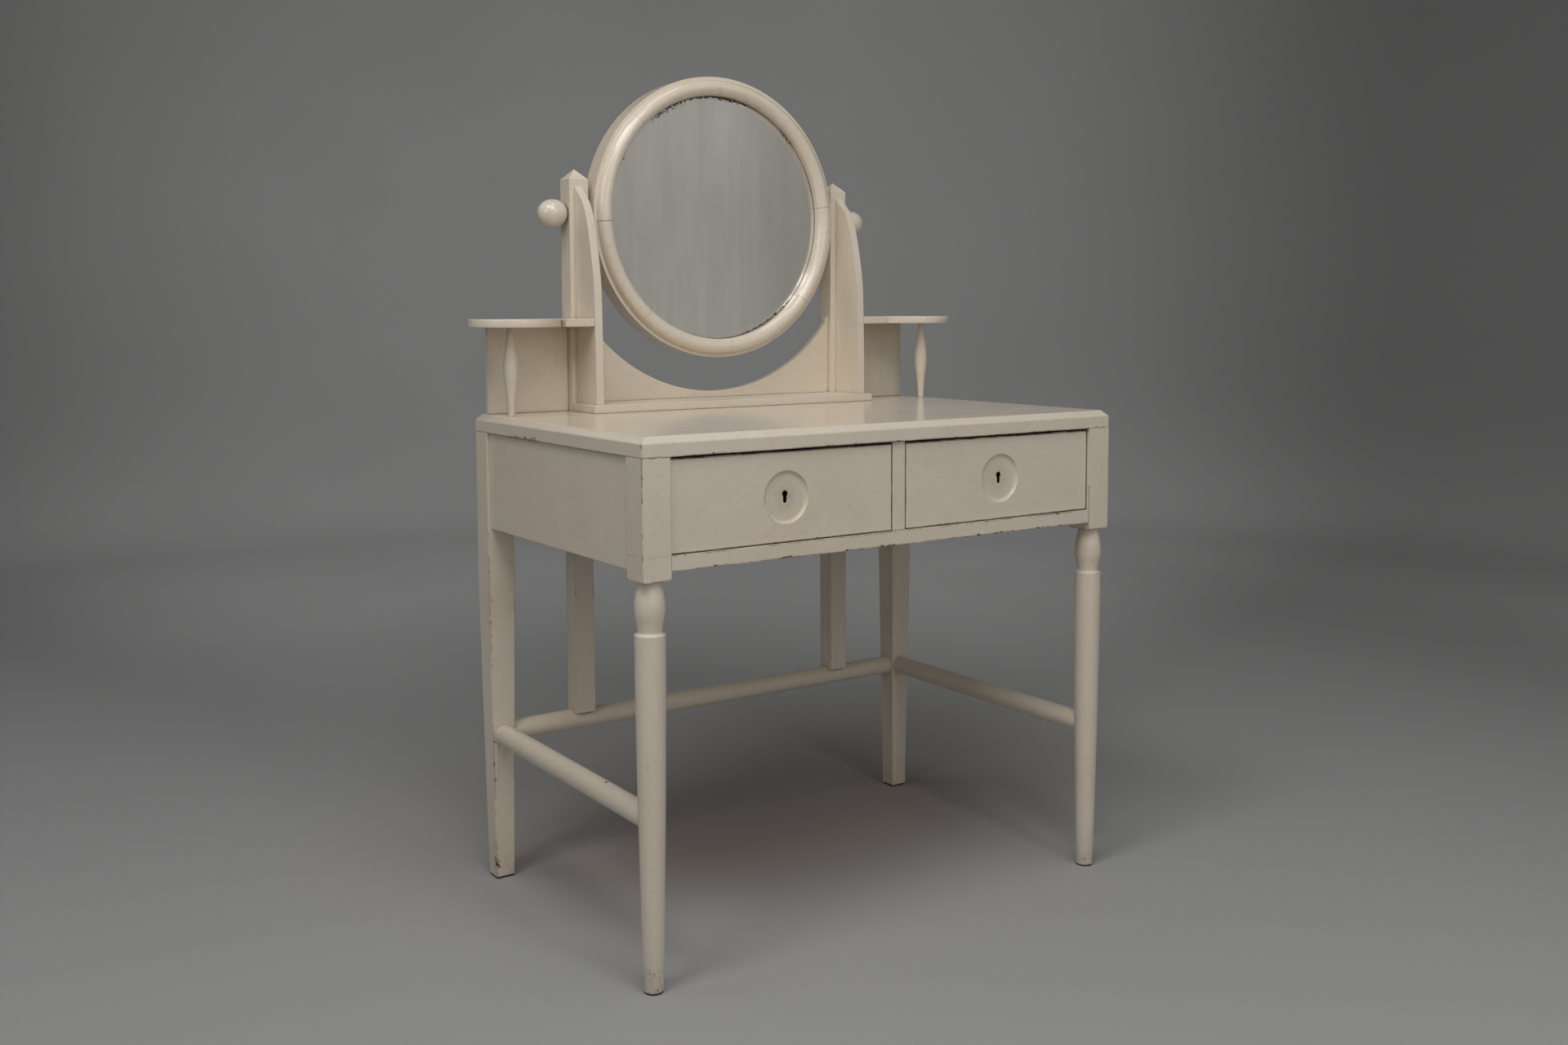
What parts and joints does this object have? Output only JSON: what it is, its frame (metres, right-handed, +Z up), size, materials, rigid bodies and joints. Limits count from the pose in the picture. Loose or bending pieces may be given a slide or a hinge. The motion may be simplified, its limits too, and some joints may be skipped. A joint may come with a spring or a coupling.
{
  "type": "dressing table",
  "caption": "Painted wooden dressing table with a round mirror tilting between tall posts, small side shelves on spindles, locking drawers under the top, and turned and tapered legs.",
  "frame": {"origin": "on the floor, at the centre of the table's footprint", "axes": "+X to the right seen from the front, -Y towards the person sitting at the table, +Z up"},
  "size_m": [0.941, 0.554, 1.323],
  "materials": {
    "painted_wood": "semi-gloss ivory oil paint over softwood",
    "bare_wood": "bare pine",
    "mirror_glass": "old silvered glass",
    "iron": "dull steel",
    "brass": "turned brass",
    "foot_pad": "dark felt"
  },
  "bodies": {
    "table": {"arched_panel": "painted_wood", "back_apron": "painted_wood", "back_leg_left": "painted_wood", "back_leg_right": "painted_wood", "back_stretcher": "painted_wood", "bracket_left": "painted_wood", "bracket_right": "painted_wood", "drawer_divider": "painted_wood", "drawer_runner_centre": "bare_wood", "drawer_runner_left": "bare_wood", "drawer_runner_right": "bare_wood", "foot_pads": "foot_pad", "front_leg_left": "painted_wood", "front_leg_right": "painted_wood", "front_rail": "painted_wood", "glue_blocks": "bare_wood", "mirror_plinth": "painted_wood", "mirror_post_left": "painted_wood", "mirror_post_right": "painted_wood", "pivot_washers": "brass", "post_screws": "iron", "shelf_back_left": "painted_wood", "shelf_back_right": "painted_wood", "shelf_left": "painted_wood", "shelf_right": "painted_wood", "side_apron_left": "painted_wood", "side_apron_right": "painted_wood", "side_stretcher_left": "painted_wood", "side_stretcher_right": "painted_wood", "spindle_left": "painted_wood", "spindle_right": "painted_wood", "table_top": "painted_wood"},
    "drawer_left": {"drawer_front_left": "painted_wood", "drawer_inner_side_left": "bare_wood", "drawer_outer_side_left": "bare_wood", "drawer_back_left": "bare_wood", "drawer_bottom_left": "bare_wood", "lock_case_left": "iron", "lock_screws_left": "iron"},
    "bolt_left": {"lock_bolt_left": "iron"},
    "knob_left": {"ball_knob_left": "painted_wood", "pivot_screw_left": "iron"},
    "drawer_right": {"drawer_front_right": "painted_wood", "drawer_inner_side_right": "bare_wood", "drawer_outer_side_right": "bare_wood", "drawer_back_right": "bare_wood", "drawer_bottom_right": "bare_wood", "lock_case_right": "iron", "lock_screws_right": "iron"},
    "bolt_right": {"lock_bolt_right": "iron"},
    "knob_right": {"ball_knob_right": "painted_wood", "pivot_screw_right": "iron"},
    "mirror": {"mirror_ring": "painted_wood", "mirror_glass": "mirror_glass", "mirror_backboard": "bare_wood", "mirror_brads": "iron", "pivot_inserts": "brass"}
  },
  "joints": [
    {"name": "mirror_tilt", "type": "hinge", "parent": "table", "child": "mirror", "pos_m": [0, 0.253, 1.083], "axis": [1, 0, 0], "range_deg": [-90, 90]},
    {"name": "drawer_left_slide", "type": "slide", "parent": "table", "child": "drawer_left", "axis": [0, -1, 0], "range_m": [0, 0.36]},
    {"name": "lock_bolt_left_throw", "type": "slide", "parent": "drawer_left", "child": "bolt_left", "axis": [0, 0, 1], "range_m": [0, 0.008]},
    {"name": "knob_left_turn", "type": "hinge", "parent": "table", "child": "knob_left", "pos_m": [-0.303, 0.253, 1.083], "axis": [1, 0, 0], "range_deg": [-180, 180]},
    {"name": "drawer_right_slide", "type": "slide", "parent": "table", "child": "drawer_right", "axis": [0, -1, 0], "range_m": [0, 0.36]},
    {"name": "lock_bolt_right_throw", "type": "slide", "parent": "drawer_right", "child": "bolt_right", "axis": [0, 0, 1], "range_m": [0, 0.008]},
    {"name": "knob_right_turn", "type": "hinge", "parent": "table", "child": "knob_right", "pos_m": [0.303, 0.253, 1.083], "axis": [1, 0, 0], "range_deg": [-180, 180]}
  ]
}
